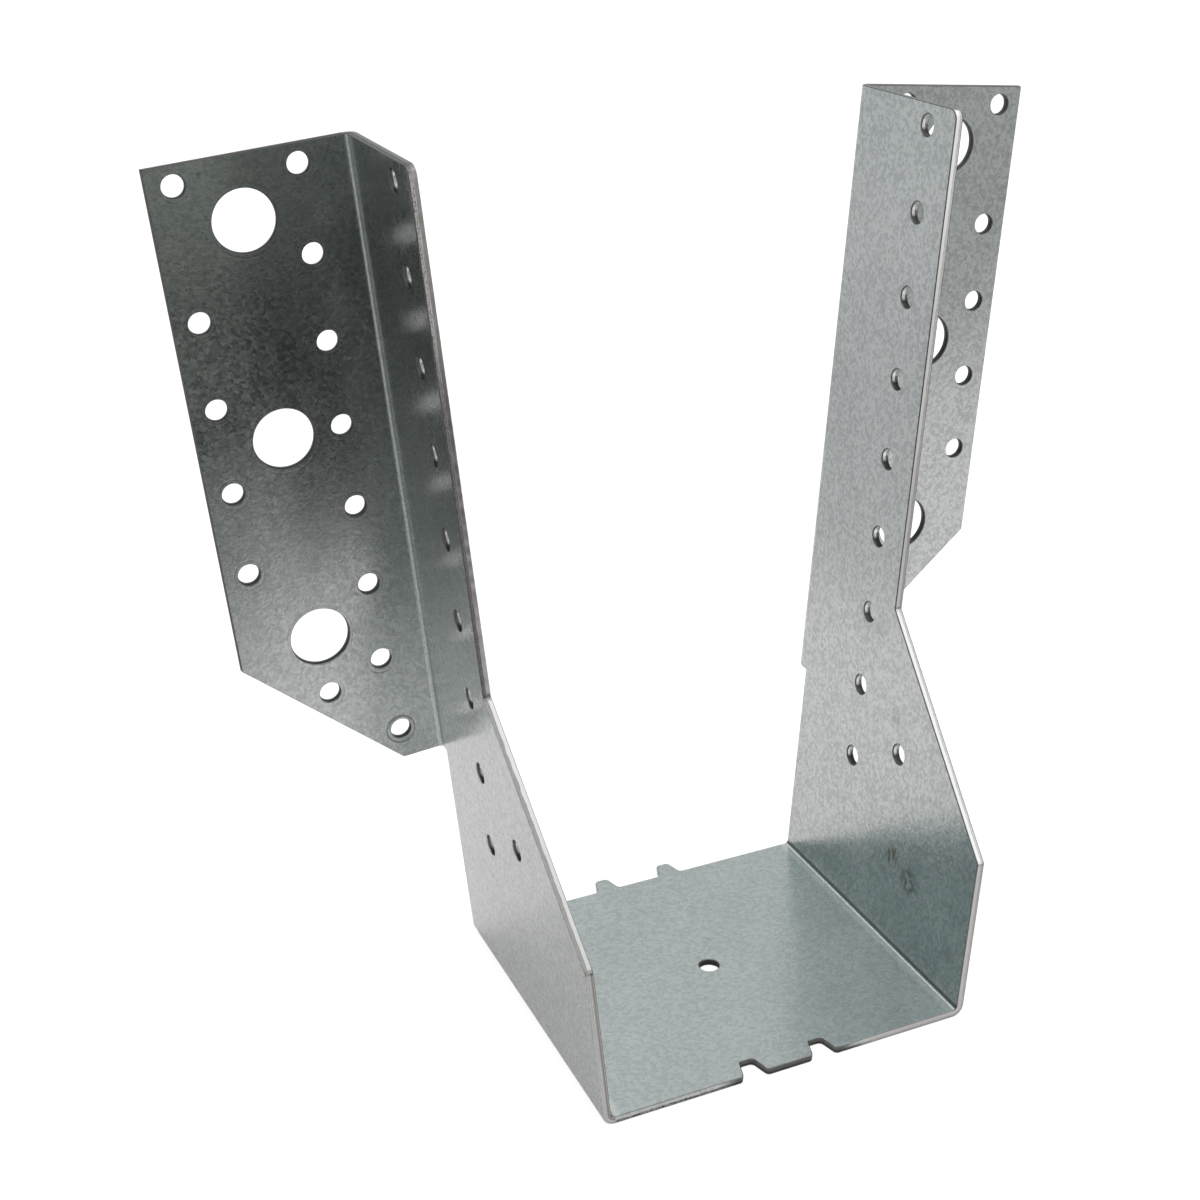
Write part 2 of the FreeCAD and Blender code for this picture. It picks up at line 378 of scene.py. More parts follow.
def hole_centres(blank):
    """Centre and diameter of every hole of the blank's right half."""
    sizes = blank.sizes
    top = sizes.wall_height
    column = [top - sizes.wall_nail_top - sizes.nail_pitch * i
              for i in range(sizes.wall_nail_count)]
    wall = [(height, sizes.wall_nail_line) for height in column]
    wall.append((column[-1] + sizes.wall_nail_rise,
                 sizes.wall_nail_line + sizes.wall_nail_step))
    first = top - sizes.flange_nail_top
    inner = [(first - sizes.nail_pitch * i, sizes.flange_nail_inner)
             for i in range(sizes.inner_nail_count)]
    inner[-1] = (inner[-1][0], sizes.flange_nail_inner - sizes.flange_nail_shift)
    outer = [(first, sizes.flange_nail_outer)]
    outer += [(first - sizes.flange_nail_gap - sizes.nail_pitch * i, sizes.flange_nail_outer)
              for i in range(sizes.outer_nail_count)]
    bolts = [(first - sizes.bolt_drop - sizes.bolt_pitch * i, sizes.bolt_line)
             for i in range(sizes.bolt_count)]
    foot = [(bolts[-1][0] - sizes.foot_nail_drop, sizes.bolt_line)]
    holes = [(Vector((blank.up_wall(height), forward)), sizes.nail_hole)
             for height, forward in wall]
    holes += [(Vector((blank.up_wall(height), blank.out_flange(outward))), sizes.nail_hole)
              for height, outward in inner + outer + foot]
    holes += [(Vector((blank.up_wall(height), blank.out_flange(outward))), sizes.bolt_hole)
              for height, outward in bolts]
    return holes


def all_holes(blank):
    """The holes of both halves and the one in the middle of the seat."""
    right = hole_centres(blank)
    left = [(Vector((-centre.x, centre.y)), diameter) for centre, diameter in right]
    middle = Vector((0.0, blank.sizes.seat_setback + blank.sizes.seat_depth / 2))
    return right + left + [(middle, blank.sizes.nail_hole)]


def inset(points, distance):
    """The outline moved into the sheet: it lies on the left of the direction of travel."""
    moved = []
    for i, here in enumerate(points):
        back = (here - points[i - 1]).normalized()
        ahead = (points[(i + 1) % len(points)] - here).normalized()
        across = (Vector((-back.y, back.x)) + Vector((-ahead.y, ahead.x))).normalized()
        spread = max(across.dot(Vector((-back.y, back.x))), SHARPEST)
        moved.append(here + across * (distance / spread))
    return moved


def worn(blank, shear, point):
    """The front edge of the left wall's upper part is nibbled by the worn shears."""
    sizes = blank.sizes
    low, high = (blank.up_wall(sizes.wall_height - down)
                 for down in (sizes.wall_upper_run, sizes.wall_corner))
    if low < -point.x < high and abs(point.y - sizes.wall_width) < ON_LINE:
        place = Vector((point.x, 0.0, 0.0))
        bite = sum(abs(noise(place * scale)) * part for scale, part in WEAR_WAVES)
        return point - Vector((0.0, min(bite, 1.0) * shear.wear))
    return point


def cut_rows(sizes, shear):
    """Rows of points down a cut: how far each stands back, its depth, the lean of its normal
    and its share of raggedness."""
    sheet = sizes.sheet
    low = sheet - shear.lip_depth
    half = math.radians(50)
    return [(shear.lip, 0.0, -math.pi / 2, 0.0),
            (shear.lip * 0.3, shear.lip_depth * 0.3, -half, 0.0),
            (0.0, shear.lip_depth, 0.0, 0.0),
            (0.0, shear.band, 0.0, 0.2),
            (shear.tear, shear.band * 1.18, 0.0, 1.0),
            (shear.tear, low, 0.0, 1.0),
            (shear.lip * 0.45, sheet - shear.lip_depth * 0.3, half, 0.5),
            (shear.lip, sheet, math.pi / 2, 0.0)]


class Cuts:
    """The cuts through the blank: its outline first, and then its holes.

    A dish is a hole's centre and diameter and the width of the ring that is drawn in round it.
    """

    def __init__(self, blank, shear):
        self.blank = blank
        self.shear = shear
        right = half_outline(blank)
        left = [(-across, forward, radius) for across, forward, radius in reversed(right)]
        seat_lines, self.flange_lines = blank.fold_lines(FOLD_STEPS)
        self.seat_lines = seat_lines + [-across for across in seat_lines]
        outline = divided(rounded(right + left), self.seat_lines, self.flange_lines, shear.step)
        self.outline = [worn(blank, shear, point) for point in outline]
        holes = all_holes(blank)
        self.loops = [self.outline]
        self.loops += [circle(centre, diameter / 2, self.sides(diameter))
                       for centre, diameter in holes]
        self.dishes = [(centre, diameter, self.dish_width(centre, diameter))
                       for centre, diameter in holes]

    def sides(self, diameter):
        return math.ceil(math.pi * diameter / self.shear.step * HOLE_FINENESS)

    def dish_width(self, centre, diameter):
        """The drawn-in ring is narrower where an edge of the sheet is near."""
        room = min((point - centre).length for point in self.outline) - diameter / 2
        return min(self.shear.dish_width, room - 2 * self.shear.lip)

    def in_hole(self, point):
        return any((point - centre).length < (diameter / 2 + self.shear.lip)
                   * math.cos(math.pi / self.sides(diameter))
                   for centre, diameter, _ in self.dishes)

    def dish(self, point):
        """Distance beyond the nearest hole's edge, how far the sheet is drawn in, its slope."""
        for centre, diameter, width in self.dishes:
            away = point - centre
            beyond = away.length - diameter / 2
            if beyond < width * DISH_MARGIN:
                fall = 1 - min(max(beyond, 0.0), width) / width
                slope = -2 * self.shear.dish * fall / width
                return beyond, self.shear.dish * fall * fall, away.normalized() * slope
        return FAR, 0.0, Vector((0.0, 0.0))


def flat_face(cuts):
    """Points and triangles of the flat face, and for each cut the points along its lip."""
    points, edges = [], []

    def add_loop(loop):
        first = len(points)
        points.extend(loop)
        edges.extend((first + k, first + (k + 1) % len(loop)) for k in range(len(loop)))
        return range(first, first + len(loop))

    lips = [add_loop(inset(loop, cuts.shear.lip)) for loop in cuts.loops]
    for share_out in DISH_RINGS:
        for centre, diameter, width in cuts.dishes:
            add_loop(circle(centre, diameter / 2 + width * share_out, cuts.sides(diameter)))

    # Fold lines join the outline's points that lie on them
    outline = cuts.outline
    for axis, lines in ((0, cuts.seat_lines), (1, cuts.flange_lines)):
        for at in lines:
            on_line = [k for k, point in enumerate(outline) if abs(point[axis] - at) < ON_LINE]
            on_line.sort(key=lambda k: outline[k][1 - axis])
            edges.extend(zip(on_line[::2], on_line[1::2]))

    inside_outline = 1
    flat, _, triangles, origins, _, _ = delaunay_2d_cdt(
        points, edges, [], inside_outline, MERGE_WITHIN)
    triangles = [triangle for triangle in triangles if not cuts.in_hole(
        sum((flat[index] for index in triangle), Vector((0, 0))) / 3)]
    new_index = {source: index for index, sources in enumerate(origins) for source in sources}
    return flat, triangles, [[new_index[k] for k in lip] for lip in lips]


class FoldedMesh:
    """Collects the folded hanger's points and faces, each point by its place on the blank."""

    def __init__(self, cuts):
        self.cuts = cuts
        self.blank = cuts.blank
        self.sheet = cuts.blank.sizes.sheet
        self.places, self.normals, self.from_hole = [], [], []
        self.faces, self.slots = [], []

    def directions(self, point):
        """Unit vectors on the folded hanger along across, forward and depth."""
        here = self.blank.folded(point.x, point.y, 0.0)
        steps = ((SMALL_STEP, 0, 0), (0, SMALL_STEP, 0), (0, 0, self.sheet))
        return [(self.blank.folded(point.x + a, point.y + b, c) - here).normalized()
                for a, b, c in steps]

    def add_sides(self, flat, triangles):
        """The joist's side of the sheet, with the rings drawn in round the holes, and its back."""
        for depth, outwards in ((0.0, -1), (self.sheet, 1)):
            for point in flat:
                across, forward, inwards = self.directions(point)
                beyond, sunk, slope = self.cuts.dish(point)
                if depth > 0.0:
                    sunk, slope = 0.0, slope * 0.0
                self.places.append((point.x, point.y, depth + sunk))
                self.normals.append(inwards * outwards + across * slope.x + forward * slope.y)
                self.from_hole.append(beyond)
        for triangle in triangles:
            self.faces.append(tuple(reversed(triangle)))
            self.faces.append(tuple(len(flat) + index for index in triangle))
            self.slots += [FACE_SLOT, FACE_SLOT]

    def add_cut(self, loop, lip, back_lip, from_hole):
        """The cut edge from the lip on the joist's side to the one on the back."""
        shear = self.cuts.shear
        into_sheet = [(inner - point).normalized()
                      for inner, point in zip(inset(loop, shear.lip), loop)]
        rings = [lip]
        for back, depth, lean, share_ragged in cut_rows(self.blank.sizes, shear)[1:-1]:
            rings.append(range(len(self.places), len(self.places) + len(loop)))
            for k, point in enumerate(inset(loop, back)):
                ragged = noise(Vector((point.x, point.y, depth)) * RAGGED_SCALE) * shear.ragged
                sunk = self.cuts.dish(loop[k])[1] if depth < shear.band else 0.0
                across, forward, inwards = self.directions(loop[k])
                out_of_cut = -(across * into_sheet[k].x + forward * into_sheet[k].y)
                self.places.append((point.x, point.y, depth + sunk + ragged * share_ragged))
                self.normals.append(out_of_cut * math.cos(lean) + inwards * math.sin(lean))
                self.from_hole.append(from_hole)
        rings.append(back_lip)
        for row, (upper, lower) in enumerate(zip(rings, rings[1:])):
            slot = CUT_SLOT if FIRST_CUT_ROW <= row < LAST_CUT_ROW else FACE_SLOT
            for k in range(len(loop)):
                after = (k + 1) % len(loop)
                self.faces.append((upper[k], upper[after], lower[after], lower[k]))
                self.slots.append(slot)

    def finish(self, name):
        """The mesh, folded, with each point's place on the blank kept as an attribute."""
        mesh = bpy.data.meshes.new(name)
        mesh.from_pydata([self.blank.folded(*place) for place in self.places], [], self.faces)
        mesh.polygons.foreach_set("material_index", self.slots)
        mesh.polygons.foreach_set("use_smooth", [True] * len(self.faces))
        spot = mesh.attributes.new("blank", "FLOAT_VECTOR", "POINT")
        spot.data.foreach_set("vector", [number for place in self.places for number in place])
        beyond = mesh.attributes.new("from_hole", "FLOAT", "POINT")
        beyond.data.foreach_set("value", self.from_hole)
        mesh.update()
        mesh.normals_split_custom_set_from_vertices(
            [normal.normalized() for normal in self.normals])
        return mesh


def hanger_mesh(sizes, shear):
    cuts = Cuts(Blank(sizes), shear)
    flat, triangles, lips = flat_face(cuts)
    folded = FoldedMesh(cuts)
    folded.add_sides(flat, triangles)
    for loop, lip in zip(cuts.loops, lips):
        back_lip = [len(flat) + index for index in lip]
        folded.add_cut(loop, lip, back_lip, FAR if loop is cuts.outline else 0.0)
    return folded.finish("hanger")


# Materials

class Nodes:
    """Adds nodes to a tree and joins them.  A value is a number, a colour or a node's output."""

    def __init__(self, tree):
        self.tree = tree
        self.count = 0

    def feed(self, socket, value):
        if isinstance(value, bpy.types.NodeSocket):
            self.tree.links.new(value, socket)
        else:
            socket.default_value = value

    def add(self, kind, inputs=None, **settings):
        node = self.tree.nodes.new(kind)
        self.count += 1
        node.location = (self.count % 8 * 200, -(self.count // 8) * 260)
        for name, value in settings.items():
            setattr(node, name, value)
        for name, value in (inputs or {}).items():
            self.feed(node.inputs[name], value)
        return node

    def maths(self, operation, *values):
        node = self.add("ShaderNodeMath", operation=operation)
        for socket, value in zip(node.inputs, values):
            self.feed(socket, value)
        return node.outputs[0]

    def times(self, first, *others):
        """All the values multiplied together."""
        for other in others:
            first = self.maths("MULTIPLY", first, other)
        return first

    def plus(self, first, second):
        return self.maths("ADD", first, second)

    def scaled(self, value, factor, offset):
        return self.maths("MULTIPLY_ADD", value, factor, offset)

    def less(self, mask, amount):
        """1 where the mask is 0, and less by the amount where it is 1."""
        return self.scaled(mask, -amount, 1.0)

    def outside(self, mask):
        return self.maths("SUBTRACT", 1.0, mask)

    def over(self, value, limit):
        return self.maths("GREATER_THAN", value, limit)

    def under(self, value, limit):
        return self.maths("LESS_THAN", value, limit)

    def either(self, first, second):
        return self.maths("MAXIMUM", first, second)

    def size_of(self, value):
        return self.maths("ABSOLUTE", value)

    def vectors(self, operation, *values):
        node = self.add("ShaderNodeVectorMath", dict(enumerate(values)), operation=operation)
        return node.outputs["Value" if operation in ("DISTANCE", "DOT_PRODUCT") else "Vector"]

    def axes(self, vector):
        outputs = self.add("ShaderNodeSeparateXYZ", {"Vector": vector}).outputs
        return outputs["X"], outputs["Y"], outputs["Z"]

    def ramp(self, value, low, high):
        """0 below low and 1 above high, smooth between."""
        node = self.add("ShaderNodeMapRange", {"Value": value, "From Min": low, "From Max": high},
                        interpolation_type="SMOOTHSTEP")
        return node.outputs["Result"]

    def band(self, value, middle, width):
        """1 where a value is at the middle, 0 where it is further off than the width."""
        off = self.size_of(self.maths("SUBTRACT", value, middle))
        return self.outside(self.ramp(off, 0.0, width))

    def patch(self, place, middle, radius, soft):
        """1 within a radius of a place on the blank, 0 outside, with a soft edge."""
        away = self.vectors("DISTANCE", place, middle)
        return self.outside(self.ramp(away, radius - soft / 2, radius + soft / 2))

    def mix(self, fac, low, high, blend="MIX"):
        node = self.add("ShaderNodeMix", data_type="RGBA", blend_type=blend)
        for name, kind, value in (("Factor", "VALUE", fac), ("A", "RGBA", low), ("B", "RGBA", high)):
            self.feed(next(s for s in node.inputs if (s.name, s.type) == (name, kind)), value)
        return next(s for s in node.outputs if s.type == "RGBA")

    def noise(self, vector, scale, detail=2.0, roughness=0.5, distortion=0.0):
        node = self.add("ShaderNodeTexNoise", {"Vector": vector, "Scale": scale, "Detail": detail,
                                               "Roughness": roughness, "Distortion": distortion})
        return node.outputs["Fac"]

    def cells(self, vector, scale):
        """Round cells: a random colour and the distance from the middle of each."""
        node = self.add("ShaderNodeTexVoronoi",
                        {"Vector": vector, "Scale": scale, "Randomness": 1.0}, feature="F1")
        tones = self.add("ShaderNodeSeparateColor", {"Color": node.outputs["Color"]}).outputs
        return tones, node.outputs["Distance"]


def rgba(value):
    return (*value, 1.0)


ZINC_SOCKETS = (("Place", "INPUT", "Vector"), ("Light", "INPUT", "Color"),
                ("Dark", "INPUT", "Color"), ("Speck", "INPUT", "Color"),
                ("Grain Scale", "INPUT", "Float"), ("Roughness", "INPUT", "Float"),
                ("Contrast", "INPUT", "Float"), ("Colour", "OUTPUT", "Color"),
                ("Roughness", "OUTPUT", "Float"), ("Height", "OUTPUT", "Float"))
GRAIN_WARP = 0.0007
COARSE_SHARE = 0.45
CLOUD_SCALE = 55.0
SPECK_SCALE = 160.0
GLOSS_SPREAD = 0.10


def zinc_group():
    """Grains, clouds and specks of a hot-dipped zinc coat."""
    group = bpy.data.node_groups.new("zinc coat", "ShaderNodeTree")
    for name, way, kind in ZINC_SOCKETS:
        group.interface.new_socket(name, in_out=way, socket_type="NodeSocket" + kind)
    nodes = Nodes(group)
    given = nodes.add("NodeGroupInput").outputs
    place, scale = given["Place"], given["Grain Scale"]

    warp = nodes.add("ShaderNodeTexNoise", {"Vector": place, "Scale": scale, "Detail": 1.0})
    shift = nodes.vectors("MULTIPLY", warp.outputs["Color"], (GRAIN_WARP,) * 3)
    grain_tones, _ = nodes.cells(nodes.vectors("ADD", place, shift), scale)
    fine = nodes.noise(place, scale, 3.0, 0.6)
    coarse = nodes.noise(place, nodes.times(scale, COARSE_SHARE), 2.0, 0.5, 0.4)
    cloud = nodes.noise(place, CLOUD_SCALE, 3.0, 0.5, 0.3)
    tone = nodes.plus(nodes.times(grain_tones["Red"], 0.45), nodes.times(fine, 0.30))
    tone = nodes.plus(tone, nodes.times(coarse, 0.25))
    tone = nodes.plus(nodes.times(nodes.ramp(tone, 0.28, 0.70), 0.8),
                      nodes.times(nodes.ramp(cloud, 0.3, 0.7), 0.2))
    tone = nodes.scaled(nodes.plus(tone, -0.5), given["Contrast"], 0.5)
    body = nodes.mix(tone, given["Dark"], given["Light"])

    spot_tones, from_spot = nodes.cells(place, SPECK_SCALE)
    few = nodes.ramp(spot_tones["Green"], 0.80, 0.86)
    small = nodes.outside(nodes.ramp(from_spot, 0.05, 0.13))
    body = nodes.mix(nodes.times(few, small, 0.45), body, given["Speck"])

    gloss = nodes.scaled(grain_tones["Green"], GLOSS_SPREAD, -GLOSS_SPREAD / 2)
    gloss = nodes.plus(gloss, nodes.scaled(cloud, GLOSS_SPREAD, -GLOSS_SPREAD / 2))
    nodes.add("NodeGroupOutput", {
        "Colour": body, "Roughness": nodes.plus(given["Roughness"], gloss),
        "Height": nodes.plus(nodes.times(fine, 0.8), nodes.times(coarse, 0.3))})
    return group


class Sheet:
    """A material of the sheet: its nodes, where a point lies on the blank, and its zinc coat."""

    def __init__(self, name, look, sizes):
        self.material = bpy.data.materials.new(name)
        self.material.use_nodes = True
        self.material.node_tree.nodes.clear()
        self.look = look
        self.sizes = sizes
        self.blank = Blank(sizes)
        self.slope_top, self.slope_end = slope_heights(sizes)
        self.nodes = Nodes(self.material.node_tree)
        self.place = self.nodes.add("ShaderNodeAttribute", attribute_name="blank").outputs["Vector"]
        self.from_hole = self.nodes.add("ShaderNodeAttribute",
                                        attribute_name="from_hole").outputs["Fac"]
        self.across, self.forward, self.depth = self.nodes.axes(self.place)
        self.off_middle = self.nodes.size_of(self.across)
        self.leftward = self.nodes.times(self.across, -1.0)
        self.off_seat = self.nodes.ramp(self.off_middle, self.blank.seat_end,
                                        self.blank.wall_start)
        self.joist_side = self.nodes.under(self.depth, sizes.sheet / 2)

    def up(self, value, low, high):
        """0 below one height on a wall and 1 above another."""
        return self.nodes.ramp(value, self.blank.up_wall(low), self.blank.up_wall(high))

    def coat(self, group, contrast):
        look = self.look
        return self.nodes.add("ShaderNodeGroup", {
            "Place": self.place, "Light": rgba(look.zinc), "Dark": rgba(look.zinc_dark),
            "Speck": rgba(look.speck), "Grain Scale": 1 / look.grain,
            "Roughness": look.zinc_gloss, "Contrast": contrast}, node_tree=group).outputs

    def finish(self, body, metallic, roughness, normal):
        shader = self.nodes.add("ShaderNodeBsdfPrincipled", {
            "Base Color": body, "Metallic": metallic, "Roughness": roughness, "Normal": normal})
        self.nodes.add("ShaderNodeOutputMaterial", {"Surface": shader.outputs[0]})
        return self.material


# How strongly each mark, painted highlight and painted shade shows, from 0 to 1
SEAT_HIGHLIGHT, CREASE_DARKNESS, RINGED, DRIED, SMUDGED, SCUFFED = 0.55, 0.90, 0.40, 0.85, 0.75, 0.28
# Painted shade on the left flange, and how much of it fades near the fold
SHADE_ON_FLANGE, SHADE_OFF_FOLD = 0.38, 0.26

FOOT_RISE = 0.008
PUNCH_RING, PUNCH_RING_WIDTH, PUNCH_RING_HEIGHT = 0.00105, 0.00035, 0.00006
LIP_FROM, LIP_TO = 0.000004, 0.00004
DROP_PLACE = (0.0233, 0.0544)
SMUDGE_AWAY = (-0.003, 0.008)
SCUFF_PLACES = ((0.078, 0.037), (0.0586, 0.0484), (0.012, 0.082))


def fold_light_and_shade(sheet, body):
    """The seat's folds: painted highlight on the seat's side, painted shade in the inner corner on
    the wall's side.
    """
    nodes, look, blank = sheet.nodes, sheet.look, sheet.blank
    painted_band = nodes.band(sheet.off_middle, blank.seat_end - 0.0006, 0.0015)
    body = nodes.mix(nodes.times(painted_band, sheet.joist_side, SEAT_HIGHLIGHT), body, rgba(look.fold_highlight))
    crease_shade = nodes.band(sheet.off_middle, blank.wall_start - 0.0007, 0.0014)
    return nodes.mix(nodes.times(crease_shade, sheet.joist_side, CREASE_DARKNESS), body, rgba(look.crease_shade))


def punch_rings(sheet):
    """Rings that the punches leave, deepest at the foot of the left flange."""
    nodes, blank, sizes = sheet.nodes, sheet.blank, sheet.sizes
    foot = (-blank.up_wall(sizes.wall_height - sizes.flange_length + FOOT_RISE),
            blank.out_flange(sizes.flange_foot), 0.0)
    deep = nodes.scaled(nodes.patch(sheet.place, foot, 0.016, 0.012), 0.90, 0.10)
    return nodes.times(nodes.band(sheet.from_hole, PUNCH_RING, PUNCH_RING_WIDTH), deep)


def shaded_left_side(sheet):
    """Painted shade on the left side's upper part, strongest along the middle of the flange."""
    nodes, blank = sheet.nodes, sheet.blank
    at_fold = nodes.ramp(sheet.forward, blank.out_flange(0.015), blank.out_flange(0.008))
    inward = nodes.ramp(sheet.forward, blank.out_flange(0.036), blank.out_flange(0.022))
    darkness = nodes.scaled(at_fold, -SHADE_OFF_FOLD, nodes.times(inward, SHADE_ON_FLANGE))
    return nodes.times(darkness, sheet.up(sheet.leftward, 0.090, 0.125))


def shaded_lips(sheet):
    """Painted shade on the rounded lips of the cuts, lighter on the left wall and the seat."""
    nodes, sizes = sheet.nodes, sheet.sizes
    under_side = nodes.maths("SUBTRACT", sizes.sheet, sheet.depth)
    lip = nodes.times(nodes.ramp(sheet.depth, LIP_FROM, LIP_TO),
                      nodes.ramp(under_side, LIP_FROM, LIP_TO))
    at_hole = nodes.under(sheet.from_hole, 0.0003)
    no_hole = nodes.over(sheet.from_hole, FAR / 2)
    upper_inner = nodes.times(sheet.joist_side,
                              nodes.over(sheet.leftward, sheet.blank.up_wall(0.040)))
    lower_outer = nodes.times(nodes.over(sheet.leftward, sheet.blank.seat_end),
                              nodes.under(sheet.leftward, sheet.blank.up_wall(sheet.slope_top)),
                              nodes.outside(sheet.joist_side))
    on_seat = nodes.outside(sheet.off_seat)
    return nodes.times(lip, nodes.either(at_hole, no_hole), nodes.less(upper_inner, 0.80),
                       nodes.less(lower_outer, 0.75), nodes.scaled(on_seat, -0.35, 0.80))


def dried_marks(sheet, body):
    """A dried drop, a smudge and soft scuffs on the inner side of the right wall."""
    nodes, look, place = sheet.nodes, sheet.look, sheet.place
    drop_at = (sheet.blank.up_wall(DROP_PLACE[0]), DROP_PLACE[1], 0.0)
    streaks = nodes.vectors("MULTIPLY", place, (0.25, 1.0, 1.0))
    streaky = nodes.ramp(nodes.noise(streaks, 1100.0, 2.0, 0.6), 0.40, 0.60)
    drop = nodes.times(nodes.patch(place, drop_at, 0.0029, 0.0016), streaky, sheet.joist_side)
    body = nodes.mix(nodes.times(drop, DRIED), body, rgba(look.stain))

    smudge_at = (drop_at[0] + SMUDGE_AWAY[0], drop_at[1] + SMUDGE_AWAY[1], 0.0)
    patchy = nodes.ramp(nodes.noise(place, 600.0, 2.0, 0.5), 0.38, 0.55)
    smudge = nodes.times(nodes.patch(place, smudge_at, 0.0035, 0.003), patchy, sheet.joist_side)
    body = nodes.mix(nodes.times(smudge, SMUDGED), body, rgba(look.smudge))

    for height_up, forward in SCUFF_PLACES:
        scuff_at = (sheet.blank.up_wall(height_up), forward, 0.0)
        scuff = nodes.times(nodes.patch(place, scuff_at, 0.0022, 0.0036), sheet.joist_side)
        body = nodes.mix(nodes.times(scuff, SCUFFED), body, rgba(look.scuff))
    return body


def zinc_material(look, sizes, group):
    """The zinc coat on the sheet's faces, with the marks of the press and of use."""
    sheet = Sheet("zinc coat", look, sizes)
    nodes, blank = sheet.nodes, sheet.blank
    on_right = nodes.ramp(sheet.across, blank.seat_end, blank.wall_start)
    contrast = nodes.scaled(on_right, 0.35, 1.0)
    contrast = nodes.scaled(nodes.outside(sheet.off_seat), -0.20, contrast)
    coat = sheet.coat(group, contrast)

    body = fold_light_and_shade(sheet, coat["Colour"])
    ring = punch_rings(sheet)
    body = nodes.mix(nodes.times(ring, RINGED), body, rgba(look.punch_ring))
    body = nodes.mix(shaded_left_side(sheet), body, rgba(look.left_shade))
    body = nodes.mix(shaded_lips(sheet), body, rgba(look.lip))
    body = dried_marks(sheet, body)

    bump = nodes.add("ShaderNodeBump", {"Height": coat["Height"], "Strength": 1.0,
                                        "Distance": look.grain_height})
    groove = nodes.add("ShaderNodeBump", {
        "Height": ring, "Strength": 1.0, "Distance": PUNCH_RING_HEIGHT,
        "Normal": bump.outputs["Normal"]}, invert=True)
    return sheet.finish(body, 1.0, coat["Roughness"], groove.outputs["Normal"])


# Across from the middle at which the painted highlight on the cuts fades in
HIGHLIGHT_FROM, HIGHLIGHT_TO = 0.017, 0.023
NOTCH_FROM, NOTCH_TO = 0.013, 0.019
# Depth of the painted shadow line on the left wall's cut
SHADOW_LINE_DEPTH = 0.0006
EDGE_NEAR = 0.0005
TORN_BUMP = 0.00008


def sheared_steel(sheet, torn, fine, coated):
    """A burnished band with smeared zinc on the joist's side, torn and rusty steel behind."""
    nodes, look, place, sizes = sheet.nodes, sheet.look, sheet.place, sheet.sizes
    smear = nodes.ramp(nodes.noise(place, 75.0, 3.0, 0.6), 0.42, 0.62)
    bright = nodes.mix(nodes.times(smear, sheet.off_seat), coated, rgba(look.band_steel))
    rough = nodes.mix(nodes.ramp(fine, 0.35, 0.7), rgba(look.torn_steel), rgba(look.zinc_dark))
    rust = nodes.ramp(nodes.noise(place, 130.0, 3.0, 0.6), 0.50, 0.68)
    rough = nodes.mix(nodes.times(rust, 0.45), rough, rgba(look.rust))
    far = nodes.ramp(sheet.wavering_depth, sizes.sheet * 0.78, sizes.sheet * 0.92)
    rough = nodes.mix(nodes.times(far, 0.5), rough, rgba(look.zinc))
    return nodes.mix(torn, bright, rough)


def right_cut(sheet, torn, body):
    """The right wall's cut: a near-white painted highlight, made matte on its slope and at its top,
    with painted shade between.
    """
    nodes, look, blank, across = sheet.nodes, sheet.look, sheet.blank, sheet.across
    highlit_cut = nodes.times(nodes.ramp(across, HIGHLIGHT_FROM, HIGHLIGHT_TO), nodes.less(torn, 0.35))
    body = nodes.mix(highlit_cut, body, rgba(look.highlight_steel))
    on_slope = nodes.times(nodes.over(across, blank.up_wall(sheet.slope_end)),
                           nodes.under(across, blank.up_wall(sheet.slope_top)))
    matte_highlight = nodes.times(nodes.either(on_slope, sheet.up(across, 0.140, 0.195)), highlit_cut)
    unshaded = nodes.either(on_slope, sheet.up(across, 0.105, 0.150))
    painted_band = nodes.times(nodes.outside(unshaded), highlit_cut, 0.40)
    return nodes.mix(painted_band, body, rgba(look.cut_shade)), matte_highlight


def left_cut(sheet, torn, fine, body):
    """The left wall's cut: dulled low down; from the slope up a near-white painted highlight with a
    painted shadow line, scuffed above, and a stretch of painted shade.
    """
    nodes, look, blank, leftward = sheet.nodes, sheet.look, sheet.blank, sheet.leftward
    wall_height = sheet.sizes.wall_height
    left = nodes.over(leftward, blank.seat_end)
    sloping = nodes.over(leftward, blank.up_wall(sheet.slope_end))
    above = nodes.over(leftward, blank.up_wall(sheet.slope_top))
    body = nodes.mix(nodes.times(left, 0.9), body,
                     nodes.mix(sloping, rgba(look.zinc), rgba(look.highlight_steel)))
    # A painted shadow line along the cut, near the joist's side
    line = nodes.band(sheet.depth, SHADOW_LINE_DEPTH, SHADOW_LINE_DEPTH)
    dull_and_shadow = nodes.times(left, nodes.mix(sloping, line, torn))
    strength = nodes.scaled(nodes.maths("SUBTRACT", sloping, above), -0.45, 0.90)
    body = nodes.mix(nodes.times(dull_and_shadow, strength), body, rgba(look.dull_steel_and_shadow))

    flecks = nodes.ramp(fine, 0.30, 0.55)
    higher = nodes.scaled(sheet.up(leftward, sheet.slope_top, wall_height), 0.5, 0.5)
    body = nodes.mix(nodes.times(above, higher, flecks), body, rgba(look.scuffed_cut))
    # Painted shade on a stretch of the upper cut
    shaded_stretch = nodes.maths("SUBTRACT", above, sheet.up(leftward, 0.150, 0.175))
    body = nodes.mix(nodes.times(shaded_stretch, 0.50), body, rgba(look.cut_shade))
    corner = sheet.up(leftward, wall_height - sheet.sizes.wall_corner, wall_height)
    return nodes.mix(nodes.times(corner, 0.8), body, rgba(look.bore_steel)), left


